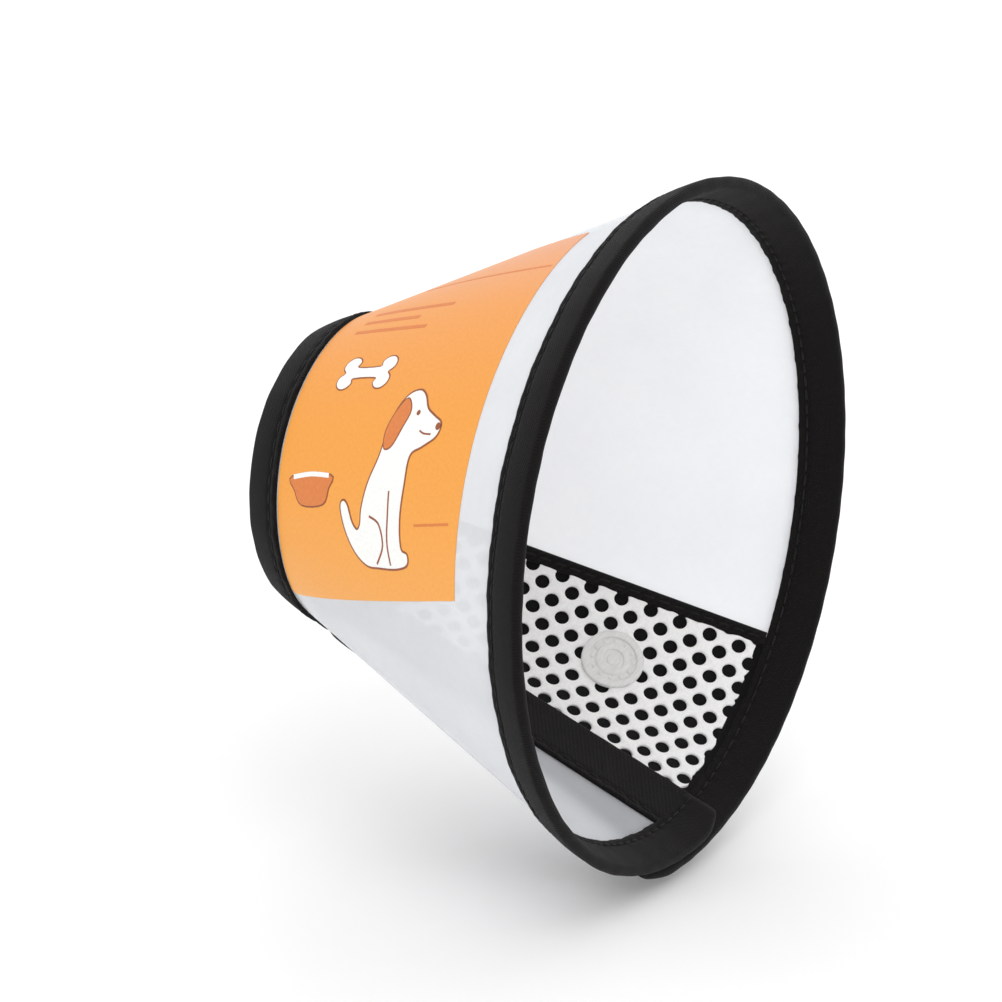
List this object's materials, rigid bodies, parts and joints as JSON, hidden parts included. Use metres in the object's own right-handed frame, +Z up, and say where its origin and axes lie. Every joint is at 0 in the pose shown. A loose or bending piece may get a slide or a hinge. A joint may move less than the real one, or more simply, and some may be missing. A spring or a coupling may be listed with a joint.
{
  "type": "elizabethan collar",
  "caption": "Small pet recovery cone: a translucent plastic fan edged in black tape, rolled up and held by a hook-and-loop pad, which keeps a pet from licking a wound.",
  "frame": {"origin": "middle of the footprint at the collar's lowest point, with the cone's axis horizontal as it is worn", "axes": "+X along the cone's axis from the neck opening to the mouth, +Z up, the closure at the bottom on the +Y side"},
  "size_m": [0.0816, 0.1334, 0.135],
  "materials": {
    "frosted_sheet": "frosted translucent polypropylene with a soft gloss",
    "black_tape": "folded woven tape, matt, sewn with black thread",
    "loop_mesh": "white perforated mesh over a black backing",
    "hook_tape": "black moulded hooks",
    "label_film": "orange printed film, satin",
    "badge_rubber": "light grey moulded rubber"
  },
  "bodies": {
    "inner_flap": {"cone_sheet_01": "frosted_sheet", "hook_strip": "hook_tape", "inner_end_tape": "black_tape", "neck_tape_01": "black_tape", "rim_tape_01": "black_tape"},
    "panel_01": {"cone_sheet_02": "frosted_sheet", "neck_tape_02": "black_tape", "rim_tape_02": "black_tape"},
    "panel_02": {"cone_sheet_03": "frosted_sheet", "label_01": "label_film", "neck_tape_03": "black_tape", "rim_tape_03": "black_tape"},
    "panel_03": {"cone_sheet_04": "frosted_sheet", "label_02": "label_film", "neck_tape_04": "black_tape", "rim_tape_04": "black_tape"},
    "panel_04": {"cone_sheet_05": "frosted_sheet", "label_03": "label_film", "neck_tape_05": "black_tape", "rim_tape_05": "black_tape"},
    "panel_05": {"cone_sheet_06": "frosted_sheet", "label_04": "label_film", "neck_tape_06": "black_tape", "rim_tape_06": "black_tape"},
    "panel_06": {"cone_sheet_07": "frosted_sheet", "label_05": "label_film", "neck_tape_07": "black_tape", "rim_tape_07": "black_tape"},
    "panel_07": {"cone_sheet_08": "frosted_sheet", "label_06": "label_film", "neck_tape_08": "black_tape", "rim_tape_08": "black_tape"},
    "panel_08": {"cone_sheet_09": "frosted_sheet", "label_07": "label_film", "neck_tape_09": "black_tape", "rim_tape_09": "black_tape"},
    "panel_09": {"cone_sheet_10": "frosted_sheet", "neck_tape_10": "black_tape", "rim_tape_10": "black_tape"},
    "panel_10": {"cone_sheet_11": "frosted_sheet", "neck_tape_11": "black_tape", "rim_tape_11": "black_tape"},
    "pad_panel_1": {"cone_sheet_12": "frosted_sheet", "loop_pad_edging": "black_tape", "loop_pad_upper": "loop_mesh", "neck_tape_12": "black_tape", "rim_tape_12": "black_tape"},
    "pad_panel_2": {"badge": "badge_rubber", "cone_sheet_13": "frosted_sheet", "loop_pad_middle": "loop_mesh", "neck_tape_13": "black_tape", "rim_tape_13": "black_tape"},
    "outer_flap": {"cone_sheet_14": "frosted_sheet", "loop_pad_lower": "loop_mesh", "neck_tape_14": "black_tape", "outer_end_tape": "black_tape", "rim_tape_14": "black_tape"}
  },
  "joints": [
    {"name": "unroll", "type": "hinge", "parent": "panel_06", "child": "panel_07", "pos_m": [-0.00002, 0.00045, 0.11372], "axis": [0.891, 0.0063, 0.4539], "range_deg": [-0.48, 23.83]},
    {"name": "ruling_08", "type": "hinge", "parent": "panel_07", "child": "panel_08", "pos_m": [-0.00014, 0.02091, 0.10848], "axis": [0.891, 0.2103, 0.4023], "range_deg": [-0.49, 23.84]},
    {"name": "ruling_09", "type": "hinge", "parent": "panel_08", "child": "panel_09", "pos_m": [-0.00026, 0.03689, 0.0945], "axis": [0.891, 0.3691, 0.2643], "range_deg": [-0.49, 23.84]},
    {"name": "ruling_10", "type": "hinge", "parent": "panel_09", "child": "panel_10", "pos_m": [-0.00038, 0.04489, 0.07472], "axis": [0.891, 0.4486, 0.0695], "range_deg": [-0.49, 23.84]},
    {"name": "ruling_11", "type": "hinge", "parent": "panel_10", "child": "pad_panel_1", "pos_m": [-0.0005, 0.04311, 0.05334], "axis": [0.891, 0.4318, -0.1403], "range_deg": [-0.49, 23.84]},
    {"name": "ruling_12", "type": "hinge", "parent": "pad_panel_1", "child": "pad_panel_2", "pos_m": [-0.00063, 0.03182, 0.03497], "axis": [0.891, 0.3221, -0.3199], "range_deg": [-0.49, 23.84]},
    {"name": "ruling_13", "type": "hinge", "parent": "pad_panel_2", "child": "outer_flap", "pos_m": [-0.00075, 0.01336, 0.0236], "axis": [0.891, 0.1433, -0.4308], "range_deg": [-0.49, 23.84]},
    {"name": "ruling_06", "type": "hinge", "parent": "panel_06", "child": "panel_05", "pos_m": [0.0001, -0.02007, 0.10921], "axis": [-0.891, 0.199, -0.408], "range_deg": [-0.49, 23.84]},
    {"name": "ruling_05", "type": "hinge", "parent": "panel_05", "child": "panel_04", "pos_m": [0.00023, -0.03626, 0.09599], "axis": [-0.891, 0.3616, -0.2745], "range_deg": [-0.49, 23.84]},
    {"name": "ruling_04", "type": "hinge", "parent": "panel_04", "child": "panel_03", "pos_m": [0.00035, -0.04471, 0.077], "axis": [-0.891, 0.4465, -0.082], "range_deg": [-0.49, 23.84]},
    {"name": "ruling_03", "type": "hinge", "parent": "panel_03", "child": "panel_02", "pos_m": [0.00047, -0.04369, 0.05634], "axis": [-0.891, 0.4355, 0.1282], "range_deg": [-0.49, 23.84]},
    {"name": "ruling_02", "type": "hinge", "parent": "panel_02", "child": "panel_01", "pos_m": [0.00059, -0.03353, 0.03846], "axis": [-0.891, 0.3309, 0.3108], "range_deg": [-0.49, 23.84]},
    {"name": "ruling_01", "type": "hinge", "parent": "panel_01", "child": "inner_flap", "pos_m": [0.00071, -0.01649, 0.02715], "axis": [-0.891, 0.1553, 0.4266], "range_deg": [-0.55, 27.03]}
  ],
  "couplings": [
    {"joint": "ruling_08", "follows": "unroll", "ratio": 1},
    {"joint": "ruling_09", "follows": "unroll", "ratio": 1},
    {"joint": "ruling_10", "follows": "unroll", "ratio": 1},
    {"joint": "ruling_11", "follows": "unroll", "ratio": 1},
    {"joint": "ruling_12", "follows": "unroll", "ratio": 1},
    {"joint": "ruling_13", "follows": "unroll", "ratio": 1},
    {"joint": "ruling_06", "follows": "unroll", "ratio": 1},
    {"joint": "ruling_05", "follows": "unroll", "ratio": 1},
    {"joint": "ruling_04", "follows": "unroll", "ratio": 1},
    {"joint": "ruling_03", "follows": "unroll", "ratio": 1},
    {"joint": "ruling_02", "follows": "unroll", "ratio": 1},
    {"joint": "ruling_01", "follows": "unroll", "ratio": 1.1337}
  ]
}
